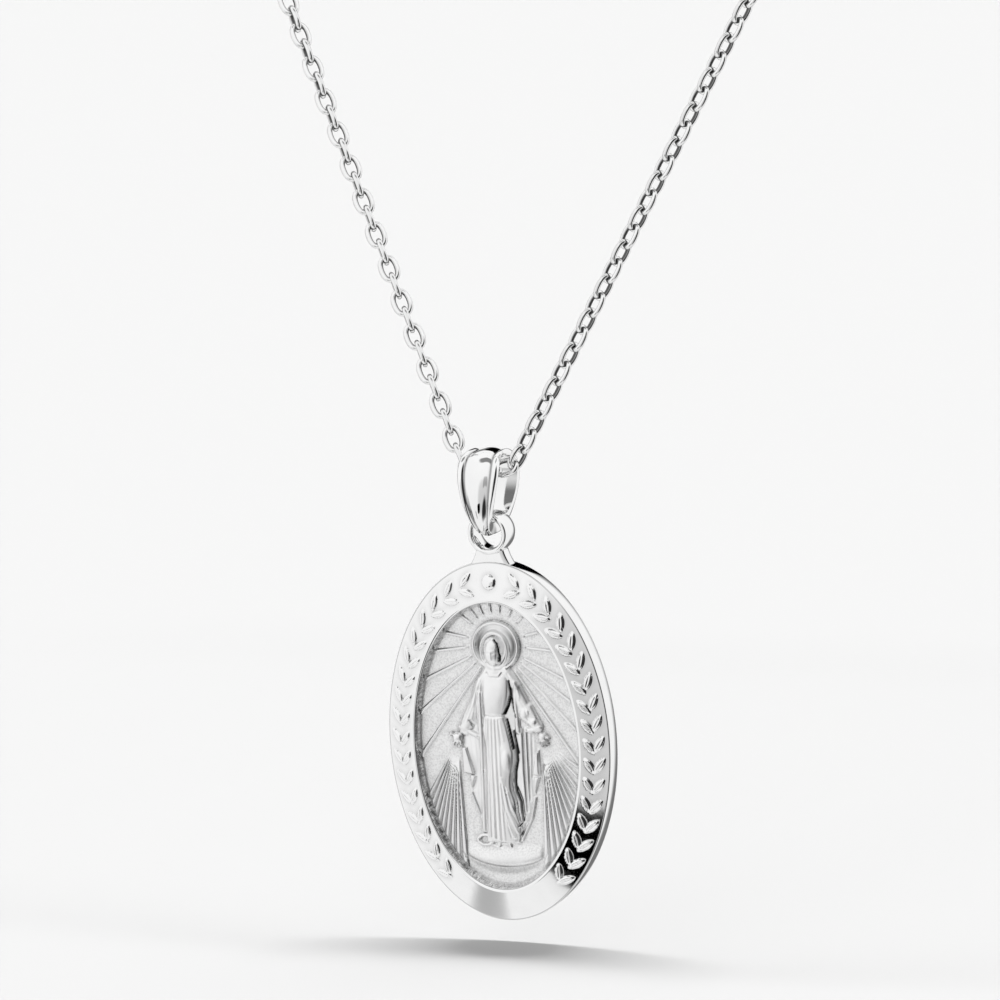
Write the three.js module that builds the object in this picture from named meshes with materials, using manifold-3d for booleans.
// An oval medal with a raised standing figure, hanging from a bail on its own cable chain.
// Millimetres, +Z up. The medal faces -Y and +X is to the viewer's right. The origin is the
// middle of the nape, where the clasp lies on the wearer's neck.
import * as THREE from "three";
import { mergeVertices } from "three/addons/utils/BufferGeometryUtils.js";
import Module from "manifold-3d";

const wasm = await Module();
wasm.setup();

// Medal blank, from its own centre
const medalWide = 16.4;
const medalTall = 25.0;
const medalThick = 1.4;
const rimSideWide = 2.25;
const rimTopWide = 2.83;
const rimFootWide = 2.37;
const rimRise = 0.5;
const edgeBevel = 0.12;
const innerBevel = 0.2;
const fieldSink = 0.72;

// Relief: places are given in heads, heights in shares of the relief's full height
const headTall = 2.0;
const reliefHigh = 0.72;
const softBlend = 0.1;
const panelFade = 0.12;
const panelSquare = 2.4;
const foldFrom = 0.3;
const edgeFadeFrom = 0.965;
const recessDraft = 0.08;
const rayFlare = 0.03;

// Rim garland
const leafLong = 1.36;
const leafWide = 0.5;
const leafHigh = 0.16;
const leafPitch = 1.42;
const leafTurn = 33;
const leafRows = { inner: 0.3, outer: 0.7 };
const garlandFrom = -57;
const beadWide = 1.0;
const beadGap = 8;

// Loop ring soldered on top of the medal
const loopHoleWide = 2.0;
const loopBand = 0.5;
const loopDeep = 1.8;
const loopSquare = 0.75;
const loopRise = 1.94;
const neckWide = 2.9;
const neckSunk = 0.6;
const neckFlare = { foot: 0.62, waist: 0.42, top: 0.36, waistRise: 0.1 };

// Bail
const bailTall = 5.9;
const bailDeep = 4.6;
const bailWide = 3.0;
const bailTipThick = 0.86;
const bailWall = 0.5;
const bailFull = 0.66;
const hangGap = 0.3;

// Chain, as the envelope of its links
const chainWide = 1.3;
const chainLong = 457;
const strandSpread = 0.497;
const strandLean = 0.28;
const strandLong = 92;
const chainBendOut = 1.74;
const chainBendSoft = 0.6;
const neckBulge = 0.45;
const napeRise = 44;
const napeReach = 42;

// Clasp and end ring
const claspWide = 6.0;
const claspWire = 1.3;
const eyeWide = 2.6;
const eyeWire = 0.8;
const eyeOverlap = 0.6;
const endRingWide = 4.2;
const endRingWire = 0.8;

// Cells of the medal's field, stations of the bail and the step that finds a curve's direction
const fieldCellsWide = 42;
const fieldCellsTall = 62;
const bailStations = 36;
const slopeStep = 0.004;

// Worked out
const rimOuterY = -medalThick / 2;
const medalBackY = medalThick / 2;
const rimInnerY = rimOuterY - rimRise;
const fieldY = rimInnerY + fieldSink;
const fieldHalfWide = medalWide / 2 - rimSideWide;
const fieldHalfTall = (medalTall - rimTopWide - rimFootWide) / 2;
const fieldZ = (rimFootWide - rimTopWide) / 2;
const loopZ = medalTall / 2 + loopRise;
const bailTipInnerZ = loopZ + loopHoleWide / 2 - hangGap;
const bailBottomZ = bailTipInnerZ - bailTipThick;
const bailTopZ = bailBottomZ + bailTall;
const chainZ = bailTopZ - bailWall - hangGap - chainWide / 2;

const silver = { color: 0xd9d9d7, metalness: 1 };
const finishes = {
  medal: new THREE.MeshStandardMaterial({ ...silver, roughness: 0.22 }),
  bail: new THREE.MeshStandardMaterial({ ...silver, roughness: 0.12 }),
  chain: new THREE.MeshStandardMaterial({ ...silver, roughness: 0.18 }),
  clasp: new THREE.MeshStandardMaterial({ ...silver, roughness: 0.16 }),
};

function solidFrom(geometry) {
  geometry.deleteAttribute("normal");
  geometry.deleteAttribute("uv");
  const merged = mergeVertices(geometry, 1e-4);
  const vertProperties = new Float32Array(merged.attributes.position.array);
  const triVerts = new Uint32Array(merged.index.array);
  return new wasm.Manifold(new wasm.Mesh({ numProp: 3, vertProperties, triVerts }));
}

function geometryFrom(solid) {
  const mesh = solid.getMesh();
  const geometry = new THREE.BufferGeometry();
  geometry.setAttribute("position", new THREE.BufferAttribute(mesh.vertProperties, 3));
  geometry.setIndex(new THREE.BufferAttribute(mesh.triVerts, 1));
  geometry.computeVertexNormals();
  return geometry;
}

function joined(geometries) {
  return geometryFrom(geometries.map(solidFrom).reduce((whole, next) => whole.add(next)));
}

// Cloth panels of the figure, each a row for every level: x of both edges and height
const panels = [
  { name: "mantle behind the arms", crown: 0.5, rows: [
    { z: 2.62, left: -0.5, right: 0.62, high: 0.3 },
    { z: 2.1, left: -0.84, right: 0.92, high: 0.34 },
    { z: 1.2, left: -0.98, right: 1.12, high: 0.3 },
    { z: 0.4, left: -1.3, right: 1.3, high: 0.24 },
    { z: -0.3, left: -1.36, right: 1.42, high: 0.22 },
    { z: -1.18, left: -1.06, right: 1.48, high: 0.22 },
    { z: -1.85, left: -1.16, right: 1.36, high: 0.2 },
    { z: -2.4, left: -0.96, right: 1.1, high: 0.18 },
    { z: -2.95, left: -0.76, right: 0.86, high: 0.18 },
    { z: -3.55, left: -0.6, right: 0.56, high: 0.16 } ] },
  { name: "gown over the chest", crown: 0.42, rows: [
    { z: 2.62, left: -0.3, right: 0.36, high: 0.5 },
    { z: 2.25, left: -0.42, right: 0.5, high: 0.78 },
    { z: 1.7, left: -0.5, right: 0.5, high: 0.92 },
    { z: 1.25, left: -0.48, right: 0.42, high: 0.86 },
    { z: 0.9, left: -0.46, right: 0.38, high: 0.74 } ] },
  { name: "skirt", crown: 0.34, rows: [
    { z: 0.95, left: -0.5, right: 0.42, high: 0.72 },
    { z: 0.5, left: -0.58, right: 0.54, high: 0.8 },
    { z: -0.3, left: -0.6, right: 0.66, high: 0.88 },
    { z: -1.0, left: -0.56, right: 0.66, high: 0.96 },
    { z: -1.7, left: -0.52, right: 0.56, high: 0.92 },
    { z: -2.4, left: -0.48, right: 0.66, high: 0.8 },
    { z: -3.05, left: -0.46, right: 0.68, high: 0.66 },
    { z: -3.45, left: -0.52, right: 0.56, high: 0.56 } ] },
];

// Rounded bars between two points, tapering in width and height
const bars = [
  { name: "left upper arm", x0: -0.5, z0: 2.2, x1: -0.84, z1: 1.05,
    wide0: 0.26, wide1: 0.34, high0: 0.6, high1: 0.52 },
  { name: "left sleeve", x0: -0.86, z0: 1.05, x1: -1.22, z1: 0.42,
    wide0: 0.34, wide1: 0.3, high0: 0.52, high1: 0.56 },
  { name: "left cuff", x0: -1.36, z0: 0.5, x1: -0.72, z1: 0.2,
    wide0: 0.1, wide1: 0.12, high0: 0.6, high1: 0.46 },
  { name: "right upper arm", x0: 0.6, z0: 2.2, x1: 1.02, z1: 1.15,
    wide0: 0.26, wide1: 0.34, high0: 0.6, high1: 0.6 },
  { name: "right sleeve", x0: 1.04, z0: 1.12, x1: 1.42, z1: 0.55,
    wide0: 0.38, wide1: 0.26, high0: 0.6, high1: 0.62 },
  { name: "right cuff", x0: 1.1, z0: 0.56, x1: 1.6, z1: 0.46,
    wide0: 0.1, wide1: 0.1, high0: 0.5, high1: 0.62 },
  { name: "neck", x0: 0.02, z0: 2.7, x1: 0.02, z1: 2.3,
    wide0: 0.2, wide1: 0.26, high0: 0.6, high1: 0.66 },
  { name: "left mantle tail", x0: -1.32, z0: -0.25, x1: -1.22, z1: -1.12,
    wide0: 0.1, wide1: 0.24, high0: 0.34, high1: 0.36 },
  { name: "left mantle tip", x0: -1.08, z0: -1.2, x1: -1.14, z1: -1.75,
    wide0: 0.14, wide1: 0.04, high0: 0.3, high1: 0.22 },
  { name: "right mantle tail", x0: 1.5, z0: -0.25, x1: 1.36, z1: -1.1,
    wide0: 0.1, wide1: 0.18, high0: 0.34, high1: 0.36 },
  { name: "right mantle tip", x0: 1.38, z0: -1.2, x1: 1.3, z1: -1.85,
    wide0: 0.13, wide1: 0.04, high0: 0.3, high1: 0.22 },
  { name: "hem of the mantle, left", x0: -1.14, z0: -1.8, x1: -0.74, z1: -2.85,
    wide0: 0.05, wide1: 0.05, high0: 0.3, high1: 0.26 },
  { name: "hem of the mantle, right", x0: 1.34, z0: -1.9, x1: 0.62, z1: -3.5,
    wide0: 0.06, wide1: 0.07, high0: 0.32, high1: 0.28 },
  { name: "left foot", x0: -0.24, z0: -3.5, x1: -0.3, z1: -3.64,
    wide0: 0.12, wide1: 0.1, high0: 0.42, high1: 0.3 },
  { name: "right foot", x0: 0.08, z0: -3.5, x1: 0.12, z1: -3.64,
    wide0: 0.12, wide1: 0.1, high0: 0.42, high1: 0.3 },
  { name: "coil, body", x0: -0.5, z0: -3.58, x1: 0.1, z1: -3.76,
    wide0: 0.08, wide1: 0.05, high0: 0.34, high1: 0.26 },
];

// Rounded bosses
const bosses = [
  { name: "head", x: 0.03, z: 3.1, wide: 0.29, tall: 0.46, high: 0.92 },
  { name: "hair, left", x: -0.2, z: 3.12, wide: 0.16, tall: 0.44, high: 0.7 },
  { name: "hair, right", x: 0.27, z: 3.12, wide: 0.16, tall: 0.44, high: 0.7 },
  { name: "left hand", x: -1.52, z: 0.13, wide: 0.24, tall: 0.2, high: 0.56 },
  { name: "left fingers", x: -1.66, z: -0.06, wide: 0.12, tall: 0.18, high: 0.4 },
  { name: "right hand", x: 1.62, z: 0.25, wide: 0.2, tall: 0.22, high: 0.6 },
  { name: "right fingers", x: 1.72, z: 0.02, wide: 0.12, tall: 0.18, high: 0.42 },
];

// Raised rings: the halo, the hood round the head and the coil by the feet
const rings = [
  { name: "halo", x: 0.08, z: 3.4, wide: 0.87, tall: 0.85, band: 0.09, high: 0.5 },
  { name: "hood edge", x: 0.04, z: 3.22, wide: 0.48, tall: 0.62, band: 0.09, high: 0.6 },
  { name: "coil", x: -0.68, z: -3.44, wide: 0.27, tall: 0.17, band: 0.07, high: 0.36 },
];

// Folds raised on the cloth, and grooves where the height is negative
const folds = [
  { x0: -0.44, z0: 0.9, x1: -0.4, z1: -3.3, wide: 0.1, high: 0.12 },
  { x0: -0.2, z0: 0.9, x1: -0.22, z1: -3.3, wide: 0.09, high: 0.12 },
  { x0: 0.04, z0: 0.9, x1: 0.0, z1: -3.3, wide: 0.1, high: 0.14 },
  { x0: 0.3, z0: 0.85, x1: 0.3, z1: -1.3, wide: 0.13, high: 0.12 },
  { x0: 0.22, z0: -1.6, x1: 0.5, z1: -3.2, wide: 0.09, high: 0.12 },
  { x0: 0.5, z0: 0.5, x1: 0.6, z1: -1.9, wide: 0.09, high: -0.14 },
  { x0: -0.5, z0: 0.86, x1: 0.42, z1: 0.86, wide: 0.07, high: -0.16 },
  { x0: 0.86, z0: 0.5, x1: 0.92, z1: -2.3, wide: 0.08, high: 0.1 },
  { x0: 1.06, z0: 0.4, x1: 1.1, z1: -2.0, wide: 0.07, high: 0.1 },
  { x0: -0.84, z0: 0.3, x1: -0.8, z1: -2.4, wide: 0.08, high: 0.08 },
  { x0: -0.68, z0: 2.3, x1: -0.74, z1: 0.6, wide: 0.07, high: 0.12 },
  { x0: 0.72, z0: 2.3, x1: 0.82, z1: 0.6, wide: 0.08, high: 0.12 },
  { x0: -0.24, z0: 2.34, x1: 0.28, z1: 2.34, wide: 0.06, high: -0.1 },
];

// Rays of the glory round the halo, and the fans of rays from both hands. Angles are in
// degrees from +X, and every ray runs to the field's edge.
const glory = {
  x: 0.08, z: 3.4, from: 0.98, wide: 0.07, high: 0.18,
  turns: [-55, -46, -36, -25, -5, 16, 44, 63, 82, 98, 114, 128, 143, 170, 188, 206, 220, 233],
};
const handRays = [
  { x: -1.55, z: 0.0, from: 0.35, wide: 0.05, high: 0.26,
    turns: [240, 245, 249.5, 253.5, 257, 260.5, 264, 267.5, 271] },
  { x: 1.62, z: 0.1, from: 0.4, wide: 0.05, high: 0.26,
    turns: [269, 272.5, 276, 279.5, 283.5, 288, 293, 299, 306, 315, 325] },
];

// The globe under the feet: a lens, and a crescent groove below it
const globe = { z: -3.98, wide: 1.5, tall: 0.4, high: 0.42 };
const crescent = { drop: 0.3, wide: 0.12, deep: 0.22 };

function clamp01(value) {
  return Math.min(1, Math.max(0, value));
}

function smooth(value) {
  const t = clamp01(value);
  return t * t * (3 - 2 * t);
}

function softMax(a, b, blend) {
  const near = Math.max(blend - Math.abs(a - b), 0) / blend;
  return Math.max(a, b) + (near * near * blend) / 4;
}

// Value of one column of a table at a level, on a smooth curve through its rows
function atLevel(rows, level, levelKey, key) {
  const rising = rows[0][levelKey] < rows[1][levelKey];
  const ordered = rising ? rows : [...rows].reverse();
  const last = ordered.length - 1;
  let i = 0;
  while (i < last - 1 && level > ordered[i + 1][levelKey]) i += 1;
  const rise = (a, b, column) => ordered[b][column] - ordered[a][column];
  const slope = (a, b) => rise(a, b, key) / rise(a, b, levelKey);
  const span = rise(i, i + 1, levelKey);
  const t = clamp01((level - ordered[i][levelKey]) / span);
  const m0 = slope(Math.max(i - 1, 0), Math.min(i + 1, last)) * span;
  const m1 = slope(i, Math.min(i + 2, last)) * span;
  const p0 = ordered[i][key];
  const p1 = ordered[i + 1][key];
  const square = 3 * (p1 - p0) - 2 * m0 - m1;
  return p0 + t * (m0 + t * (square + t * (2 * (p0 - p1) + m0 + m1)));
}

function panelHigh(panel, u, v) {
  const top = panel.rows[0].z;
  const foot = panel.rows.at(-1).z;
  const ends = smooth((top + panelFade - v) / panelFade) * smooth((v - foot + panelFade) / panelFade);
  if (ends === 0) return 0;
  const left = atLevel(panel.rows, v, "z", "left");
  const right = atLevel(panel.rows, v, "z", "right");
  const across = Math.abs((2 * u - left - right) / (right - left));
  if (across >= 1) return 0;
  return ends * atLevel(panel.rows, v, "z", "high") * (1 - across ** panelSquare) ** panel.crown;
}

// Place of a point along a line between two points, 0 to 1, and its distance from it
function besideLine(line, u, v) {
  const du = line.x1 - line.x0;
  const dv = line.z1 - line.z0;
  const along = clamp01(((u - line.x0) * du + (v - line.z0) * dv) / (du * du + dv * dv));
  const off = Math.hypot(u - line.x0 - along * du, v - line.z0 - along * dv);
  return { along, off };
}

function barHigh(bar, u, v) {
  const { along, off } = besideLine(bar, u, v);
  const wide = THREE.MathUtils.lerp(bar.wide0, bar.wide1, along);
  const high = THREE.MathUtils.lerp(bar.high0, bar.high1, along);
  return high * Math.sqrt(Math.max(0, 1 - (off / wide) ** 2));
}

function bossHigh(boss, u, v) {
  const reach = Math.hypot((u - boss.x) / boss.wide, (v - boss.z) / boss.tall);
  return boss.high * Math.sqrt(Math.max(0, 1 - reach * reach));
}

function ringHigh(ring, u, v) {
  const reach = Math.hypot((u - ring.x) / ring.wide, (v - ring.z) / ring.tall);
  const off = Math.abs(reach - 1) * Math.min(ring.wide, ring.tall);
  return ring.high * Math.sqrt(Math.max(0, 1 - (off / ring.band) ** 2));
}

function foldHigh(fold, u, v) {
  const { off } = besideLine(fold, u, v);
  return fold.high * Math.max(0, 1 - (off / fold.wide) ** 2) ** 2;
}

function rayHigh(fan, u, v) {
  const reach = Math.hypot(u - fan.x, v - fan.z);
  if (reach < fan.from) return 0;
  const turn = THREE.MathUtils.radToDeg(Math.atan2(v - fan.z, u - fan.x));
  const gaps = fan.turns.map((ray) => Math.abs(((turn - ray + 540) % 360) - 180));
  const off = reach * THREE.MathUtils.degToRad(Math.min(...gaps));
  const wide = fan.wide + rayFlare * (reach - fan.from) / fan.from;
  const start = smooth((reach - fan.from) / (2 * fan.wide));
  return start * fan.high * Math.max(0, 1 - (off / wide) ** 2);
}

function globeHigh(u, v) {
  const reach = Math.hypot(u / globe.wide, (v - globe.z) / globe.tall);
  const lens = globe.high * Math.sqrt(Math.max(0, 1 - reach * reach));
  const low = Math.hypot(u / (globe.wide + crescent.wide), (v - globe.z) / (globe.tall + crescent.drop));
  const groove = v < globe.z ? Math.max(0, 1 - (Math.abs(low - 1) * globe.tall / crescent.wide) ** 2) : 0;
  return lens - crescent.deep * groove;
}

// Height of the relief over the field, in millimetres, at a place on the medal
function reliefAt(x, z) {
  const u = x / headTall;
  const v = z / headTall;
  const rays = Math.max(rayHigh(glory, u, v), ...handRays.map((fan) => rayHigh(fan, u, v)));
  const ground = globeHigh(u, v);
  const cloth = [
    ...panels.map((panel) => panelHigh(panel, u, v)),
    ...bars.map((bar) => barHigh(bar, u, v)),
    ...bosses.map((boss) => bossHigh(boss, u, v)),
    ...rings.map((ring) => ringHigh(ring, u, v)),
  ].reduce((whole, high) => softMax(whole, high, softBlend), 0);
  const draped = smooth(cloth / foldFrom);
  const pleats = folds.reduce((sum, fold) => sum + foldHigh(fold, u, v), 0);
  const figure = Math.max(cloth, 0) + draped * pleats;
  const whole = softMax(Math.max(rays, 0) + Math.min(ground, 0), Math.max(figure, ground), softBlend / 2);
  const reach = Math.hypot(x / fieldHalfWide, (z - fieldZ) / fieldHalfTall);
  return reliefHigh * whole * (1 - smooth((reach - edgeFadeFrom) / (1 - edgeFadeFrom)));
}

// Closed rings round the medal from the field's edge over the rim to the back. The first
// ring is the border of the field's grid.
function rimRings() {
  const wide = medalWide / 2;
  const tall = medalTall / 2;
  return [
    { name: "foot of the recess", wide: fieldHalfWide, tall: fieldHalfTall, z: fieldZ, y: fieldY },
    { name: "top of the recess wall", wide: fieldHalfWide + recessDraft, tall: fieldHalfTall + recessDraft,
      z: fieldZ, y: rimInnerY + innerBevel / 2 },
    { name: "inner crest", wide: fieldHalfWide + recessDraft + innerBevel,
      tall: fieldHalfTall + recessDraft + innerBevel, z: fieldZ, y: rimInnerY },
    { name: "front edge", wide: wide - edgeBevel, tall: tall - edgeBevel, z: 0, y: rimOuterY },
    { name: "side, front", wide, tall, z: 0, y: rimOuterY + edgeBevel },
    { name: "side, back", wide, tall, z: 0, y: medalBackY - edgeBevel },
    { name: "back edge", wide: wide - edgeBevel, tall: tall - edgeBevel, z: 0, y: medalBackY },
  ];
}

// Faces between two closed rings of points. The outer one has as many points or half of them.
function bandBetween(inner, outer) {
  const ratio = inner.length / outer.length;
  return inner.flatMap((p, k) => {
    const next = inner[(k + 1) % inner.length];
    const near = outer[Math.floor(k / ratio)];
    const far = outer[Math.floor(k / ratio + 1) % outer.length];
    return (k + 1) % ratio === 0 ? [p, near, next, next, near, far] : [p, near, next];
  });
}

// The field is a square grid pressed into an oval, so its border lies on the recess's foot
function medalBlank() {
  const points = [];
  const faces = [];
  const index = (i, j) => j * (fieldCellsWide + 1) + i;
  for (let j = 0; j <= fieldCellsTall; j += 1) {
    for (let i = 0; i <= fieldCellsWide; i += 1) {
      const s = (2 * i) / fieldCellsWide - 1;
      const t = (2 * j) / fieldCellsTall - 1;
      const x = fieldHalfWide * s * Math.sqrt(1 - (t * t) / 2);
      const z = fieldZ + fieldHalfTall * t * Math.sqrt(1 - (s * s) / 2);
      points.push(x, fieldY - reliefAt(x, z), z);
    }
  }
  for (let j = 0; j < fieldCellsTall; j += 1) {
    for (let i = 0; i < fieldCellsWide; i += 1) {
      const [a, b, c, d] = [index(i, j), index(i + 1, j), index(i + 1, j + 1), index(i, j + 1)];
      const sameSign = (i < fieldCellsWide / 2) === (j < fieldCellsTall / 2);
      if (sameSign) faces.push(a, b, c, a, c, d);
      else faces.push(a, b, d, b, c, d);
    }
  }
  const border = [];
  for (let i = 0; i < fieldCellsWide; i += 1) border.push(index(i, 0));
  for (let j = 0; j < fieldCellsTall; j += 1) border.push(index(fieldCellsWide, j));
  for (let i = fieldCellsWide; i > 0; i -= 1) border.push(index(i, fieldCellsTall));
  for (let j = fieldCellsTall; j > 0; j -= 1) border.push(index(0, j));
  const turns = border.map((p) =>
    Math.atan2((points[3 * p + 2] - fieldZ) / fieldHalfTall, points[3 * p] / fieldHalfWide));
  let inner = border;
  for (const [row, ring] of rimRings().slice(1).entries()) {
    const stride = row < 2 ? 1 : 2;
    const outer = turns.filter((_, k) => k % stride === 0).map((turn) => {
      points.push(ring.wide * Math.cos(turn), ring.y, ring.z + ring.tall * Math.sin(turn));
      return points.length / 3 - 1;
    });
    faces.push(...bandBetween(inner, outer));
    inner = outer;
  }
  points.push(0, medalBackY, 0);
  const middle = points.length / 3 - 1;
  inner.forEach((p, k) => faces.push(p, middle, inner[(k + 1) % inner.length]));
  const geometry = new THREE.BufferGeometry();
  geometry.setAttribute("position", new THREE.Float32BufferAttribute(points, 3));
  geometry.setIndex(faces);
  return geometry;
}

// A place on the rim's sloping front: across runs from its inner crest, 0, to its front edge, 1
function rimPlace(turn, across) {
  const [crest, edge] = rimRings().slice(2, 4);
  const mix = (key) => THREE.MathUtils.lerp(crest[key], edge[key], across);
  const z = mix("z") + mix("tall") * Math.sin(turn);
  return new THREE.Vector3(mix("wide") * Math.cos(turn), mix("y"), z);
}

function rimTurnsEvenly(from, to, pitch) {
  const fine = 720;
  const degrees = Array.from({ length: fine + 1 }, (_, k) => THREE.MathUtils.lerp(from, to, k / fine));
  const angles = degrees.map(THREE.MathUtils.degToRad);
  const spots = angles.map((turn) => rimPlace(turn, 0.5));
  const reach = spots.map(() => 0);
  for (let k = 1; k <= fine; k += 1) reach[k] = reach[k - 1] + spots[k].distanceTo(spots[k - 1]);
  const count = Math.round(reach[fine] / pitch);
  return Array.from({ length: count }, (_, k) => {
    const goal = (reach[fine] * (k + 0.5)) / count;
    return angles[reach.findIndex((value) => value >= goal)];
  });
}

// One pointed leaf lying on the rim, turned from the rim's own direction
function leaf(turn, across, direction, lean) {
  const place = rimPlace(turn, across);
  const along = rimPlace(turn + slopeStep * direction, across).sub(place).normalize();
  const inward = rimPlace(turn, 0).sub(rimPlace(turn, 1)).normalize();
  const out = new THREE.Vector3().crossVectors(along, inward).normalize();
  if (out.y > 0) out.negate();
  const pointing = along.clone().applyAxisAngle(out, lean);
  const beside = new THREE.Vector3().crossVectors(out, pointing);
  const geometry = new THREE.OctahedronGeometry(1);
  const frame = new THREE.Matrix4().makeBasis(pointing.multiplyScalar(leafLong / 2),
    beside.multiplyScalar(leafWide / 2), out.multiplyScalar(leafHigh));
  return geometry.applyMatrix4(frame.setPosition(place));
}

function garland() {
  const lean = THREE.MathUtils.degToRad(leafTurn);
  const right = rimTurnsEvenly(garlandFrom, 90 - beadGap, leafPitch);
  return right.flatMap((turn) => [
    leaf(turn, leafRows.inner, 1, -lean),
    leaf(turn, leafRows.outer, 1, lean),
    leaf(Math.PI - turn, leafRows.inner, -1, lean),
    leaf(Math.PI - turn, leafRows.outer, -1, -lean),
  ]);
}

function topBead() {
  const place = rimPlace(Math.PI / 2, 0.5);
  const geometry = new THREE.SphereGeometry(1, 12, 6);
  return geometry.scale(beadWide / 2, 2 * leafHigh, beadWide / 2).translate(place.x, place.y, place.z);
}

// Closed outline of an oval section, as points of a lathe's profile
function ovalProfile(radius, halfAcross, halfAlong, count, power = 1) {
  return Array.from({ length: count + 1 }, (_, k) => {
    const turn = (-2 * Math.PI * (k % count)) / count;
    const square = (value) => Math.sign(value) * Math.abs(value) ** power;
    const across = halfAcross * square(Math.cos(turn));
    return new THREE.Vector2(radius - across, halfAlong * square(Math.sin(turn)));
  });
}

function loopRing() {
  const radius = (loopHoleWide + loopBand) / 2;
  const profile = ovalProfile(radius, loopBand / 2, loopDeep / 2, 8, loopSquare);
  return new THREE.LatheGeometry(profile, 24).translate(0, 0, loopZ);
}

// Solder neck between the loop ring and the medal's top edge
function loopNeck() {
  const low = medalTall / 2 - neckSunk;
  const waistZ = medalTall / 2 + neckFlare.waistRise;
  const high = loopZ - loopHoleWide / 2 - loopBand / 3;
  const [foot, waist, top] = ["foot", "waist", "top"].map((part) => neckFlare[part] * neckWide);
  const shape = new THREE.Shape();
  shape.moveTo(-foot, low);
  shape.lineTo(foot, low);
  shape.quadraticCurveTo(waist, waistZ, top, high);
  shape.lineTo(-top, high);
  shape.quadraticCurveTo(-waist, waistZ, -foot, low);
  const deep = medalThick - 2 * edgeBevel;
  const settings = { depth: deep, bevelEnabled: false, curveSegments: 5 };
  const geometry = new THREE.ExtrudeGeometry(shape, settings);
  return geometry.translate(0, 0, -deep / 2).rotateX(Math.PI / 2);
}

// The bail is one strap bent into a drop: a half from its tip up to its crown, in shares
const bailRows = [
  { at: 0.0, wide: 0.28, thick: 1.0 },
  { at: 0.14, wide: 0.34, thick: 0.9 },
  { at: 0.3, wide: 0.58, thick: 0.45 },
  { at: 0.5, wide: 0.86, thick: 0.12 },
  { at: 0.68, wide: 1.0, thick: 0.0 },
  { at: 0.85, wide: 0.96, thick: 0.0 },
  { at: 1.0, wide: 0.86, thick: 0.0 },
];
// Section of the strap: across in half widths, out in shares of its thickness
const bailSection = [
  { across: -0.94, out: 0 }, { across: -1.0, out: 0.4 }, { across: -0.9, out: 0.86 },
  { across: -0.76, out: 0.84 }, { across: -0.62, out: 0.6 }, { across: -0.32, out: 0.94 },
  { across: 0, out: 1.06 }, { across: 0.32, out: 0.94 }, { across: 0.62, out: 0.6 },
  { across: 0.76, out: 0.84 }, { across: 0.9, out: 0.86 }, { across: 1.0, out: 0.4 },
  { across: 0.94, out: 0 },
];

function bailThickAt(share) {
  return bailWall + (bailTipThick - bailWall) * atLevel(bailRows, share, "at", "thick");
}

// Middle line of the strap, once round from the tip: 0 and 1 are the tip, 0.5 is the crown
function bailMiddle(round) {
  const phase = 2 * Math.PI * round;
  const low = bailBottomZ + bailTipThick / 2;
  const high = bailTopZ - bailWall / 2;
  const sine = Math.sin(phase);
  const halfDeep = (bailDeep - bailWall) / 2;
  const y = -halfDeep * Math.sign(sine) * Math.abs(sine) ** bailFull;
  return new THREE.Vector3(0, y, low + ((high - low) * (1 - Math.cos(phase))) / 2);
}

function bailStrap() {
  const points = [];
  const faces = [];
  const perSection = bailSection.length;
  for (let station = 0; station < bailStations; station += 1) {
    const round = (station + 0.5) / bailStations;
    const share = 1 - Math.abs(2 * round - 1);
    const middle = bailMiddle(round);
    const along = bailMiddle(round + slopeStep).sub(bailMiddle(round - slopeStep)).normalize();
    const out = new THREE.Vector3(0, along.z, -along.y).multiplyScalar(-1);
    const halfWide = (bailWide / 2) * atLevel(bailRows, share, "at", "wide");
    const thick = bailThickAt(share);
    for (const { across, out: rise } of bailSection) {
      const spot = middle.clone().addScaledVector(out, (rise - 0.5) * thick);
      points.push(across * halfWide, spot.y, spot.z);
    }
  }
  for (let station = 0; station < bailStations; station += 1) {
    const next = (station + 1) % bailStations;
    for (let k = 0; k < perSection; k += 1) {
      const m = (k + 1) % perSection;
      const [a, b] = [station * perSection + k, station * perSection + m];
      const [c, d] = [next * perSection + m, next * perSection + k];
      faces.push(a, b, c, a, c, d);
    }
  }
  const geometry = new THREE.BufferGeometry();
  geometry.setAttribute("position", new THREE.Float32BufferAttribute(points, 3));
  geometry.setIndex(faces);
  return geometry;
}

// A route in several curves, each sampled in its own number of steps
class Route extends THREE.Curve {
  constructor(stretches) {
    super();
    this.stretches = stretches;
    this.steps = stretches.reduce((sum, stretch) => sum + stretch.steps, 0);
  }
  locate(u) {
    let left = clamp01(u) * this.steps;
    let i = 0;
    while (i < this.stretches.length - 1 && left > this.stretches[i].steps) {
      left -= this.stretches[i].steps;
      i += 1;
    }
    return { curve: this.stretches[i].curve, t: Math.min(1, left / this.stretches[i].steps) };
  }
  getPoint(u) {
    const { curve, t } = this.locate(u);
    return curve.getPoint(t);
  }
  getPointAt(u) {
    return this.getPoint(u);
  }
  getTangent(u) {
    const { curve, t } = this.locate(u);
    return curve.getTangent(t);
  }
  getTangentAt(u) {
    return this.getTangent(u);
  }
}

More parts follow.
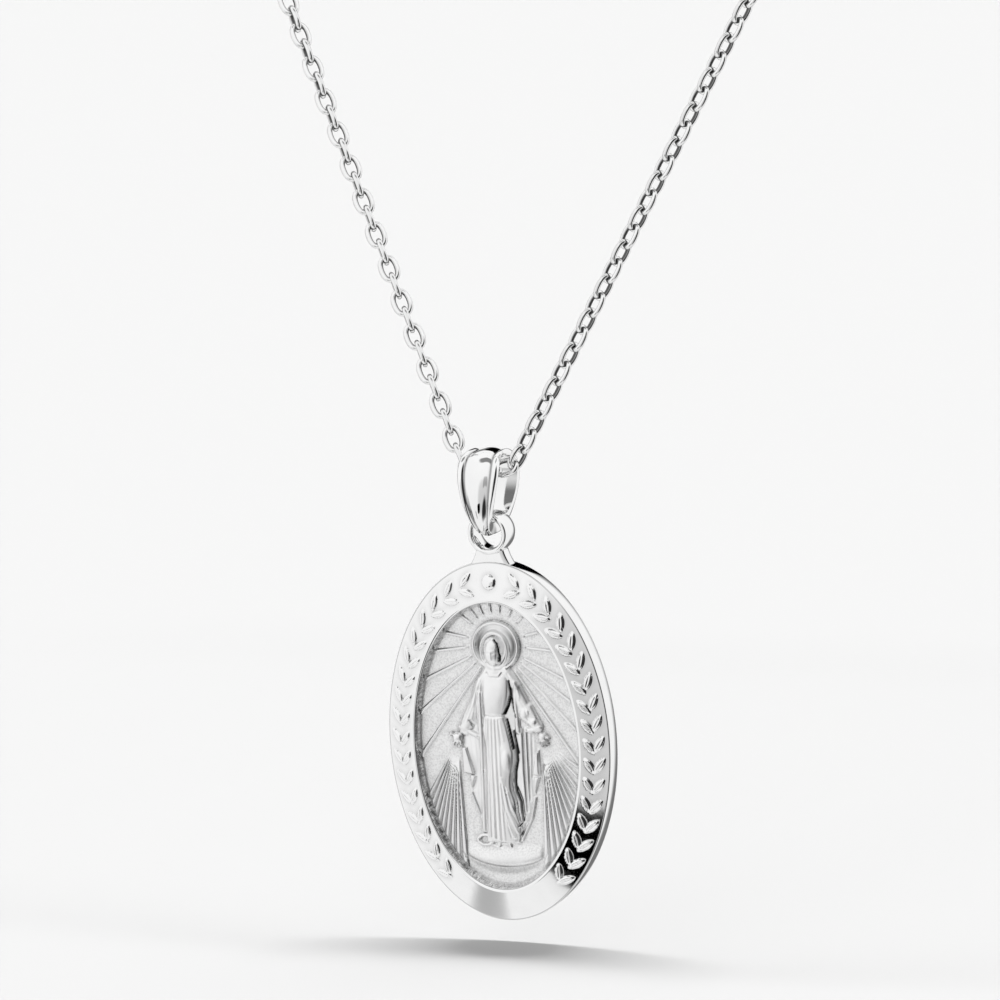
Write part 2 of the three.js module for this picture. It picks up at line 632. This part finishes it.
// Half of the chain's route, from the middle of the bail to the clasp, on one side (-1 or 1).
// The nape lies behind the bail by napeBack.
function halfRoute(side, napeBack, reach) {
  const up = new THREE.Vector3(side * strandSpread, strandLean, 1).normalize();
  const bend = new THREE.Vector3(side * chainBendOut, 0, chainZ);
  const before = bend.clone().add(new THREE.Vector3(-side * chainBendSoft, 0, 0));
  const after = bend.clone().addScaledVector(up, chainBendSoft);
  const shoulder = bend.clone().addScaledVector(up, strandLong);
  const end = new THREE.Vector3(side * reach, napeBack, shoulder.z + napeRise);
  const toEnd = new THREE.Vector3(side * napeReach, 0, 0);
  return [
    { steps: 1, curve: new THREE.LineCurve3(new THREE.Vector3(0, 0, chainZ), before) },
    { steps: 4, curve: new THREE.QuadraticBezierCurve3(before, bend, after) },
    { steps: 8, curve: new THREE.LineCurve3(after, shoulder) },
    { steps: 22, curve: new THREE.CubicBezierCurve3(shoulder,
      shoulder.clone().addScaledVector(up, neckBulge * strandLong), end.clone().add(toEnd), end) },
  ];
}

function lengthOf(stretches) {
  return stretches.reduce((sum, stretch) => sum + stretch.curve.getLength(), 0);
}

// How far behind the bail the nape lies, for a chain of the named length
function napeDistance(reach) {
  let near = 5;
  let far = chainLong;
  for (let step = 0; step < 50; step += 1) {
    const middle = (near + far) / 2;
    if (lengthOf(halfRoute(1, middle, reach)) + reach < chainLong / 2) near = middle;
    else far = middle;
  }
  return near;
}

function backwards(stretches) {
  return [...stretches].reverse().map(({ steps, curve }) => {
    const points = ["v0", "v1", "v2", "v3"].map((name) => curve[name]).filter(Boolean).reverse();
    return { steps, curve: new curve.constructor(...points) };
  });
}

function chainTube(napeBack, reach) {
  const left = backwards(halfRoute(-1, napeBack, reach));
  const route = new Route([...left, ...halfRoute(1, napeBack, reach)]);
  const section = new THREE.Shape(Array.from({ length: 8 }, (_, k) => {
    const turn = ((k + 0.5) * Math.PI) / 4;
    return new THREE.Vector2((chainWide / 2) * Math.cos(turn), (chainWide / 2) * Math.sin(turn));
  }));
  const settings = { steps: route.steps, extrudePath: route, bevelEnabled: false };
  return new THREE.ExtrudeGeometry(section, settings);
}

// Places of the clasp's parts along X, with the whole row centred on the nape
const claspRadius = (claspWide - claspWire) / 2;
const eyeRadius = (eyeWide - eyeWire) / 2;
const eyeX = -(claspWide / 2 + eyeWide / 2 - eyeWire * eyeOverlap);
const endRingX = claspRadius - claspWire / 2 - hangGap + (endRingWide / 2 - endRingWire);
const rowLow = eyeX - eyeWide / 2;
const rowHigh = endRingX + endRingWide / 2;
const rowShift = -(rowLow + rowHigh) / 2;
const claspReach = (rowHigh - rowLow) / 2 + hangGap;

function torus(radius, wire, sides, around) {
  return new THREE.LatheGeometry(ovalProfile(radius, wire / 2, wire / 2, sides), around);
}

function clasp() {
  const eye = torus(eyeRadius, eyeWire, 6, 14).translate(eyeX, 0, 0);
  return joined([torus(claspRadius, claspWire, 8, 24), eye]);
}

function mesh(name, geometry, finish) {
  const piece = new THREE.Mesh(geometry, finishes[finish]);
  piece.name = name;
  return piece;
}

const napeBack = napeDistance(claspReach);
const napeZ = halfRoute(1, napeBack, claspReach).at(-1).curve.v3.z;

const pendant = new THREE.Group();
const medal = joined([medalBlank(), loopRing(), loopNeck(), topBead(), ...garland()]);
pendant.add(mesh("medal", medal, "medal"));
pendant.add(mesh("bail", geometryFrom(solidFrom(bailStrap())), "bail"));
pendant.add(mesh("chain", chainTube(napeBack, claspReach), "chain"));
pendant.position.set(0, -napeBack, -napeZ);

const fastening = new THREE.Group();
fastening.add(mesh("clasp", clasp(), "clasp"));
const endRing = mesh("end_ring", torus((endRingWide - endRingWire) / 2, endRingWire, 8, 20), "clasp");
endRing.position.set(endRingX, 0, 0);
endRing.rotation.x = Math.PI / 2;
fastening.add(endRing);
fastening.position.set(rowShift, 0, 0);

const necklace = new THREE.Group();
necklace.add(pendant, fastening);

export default necklace;
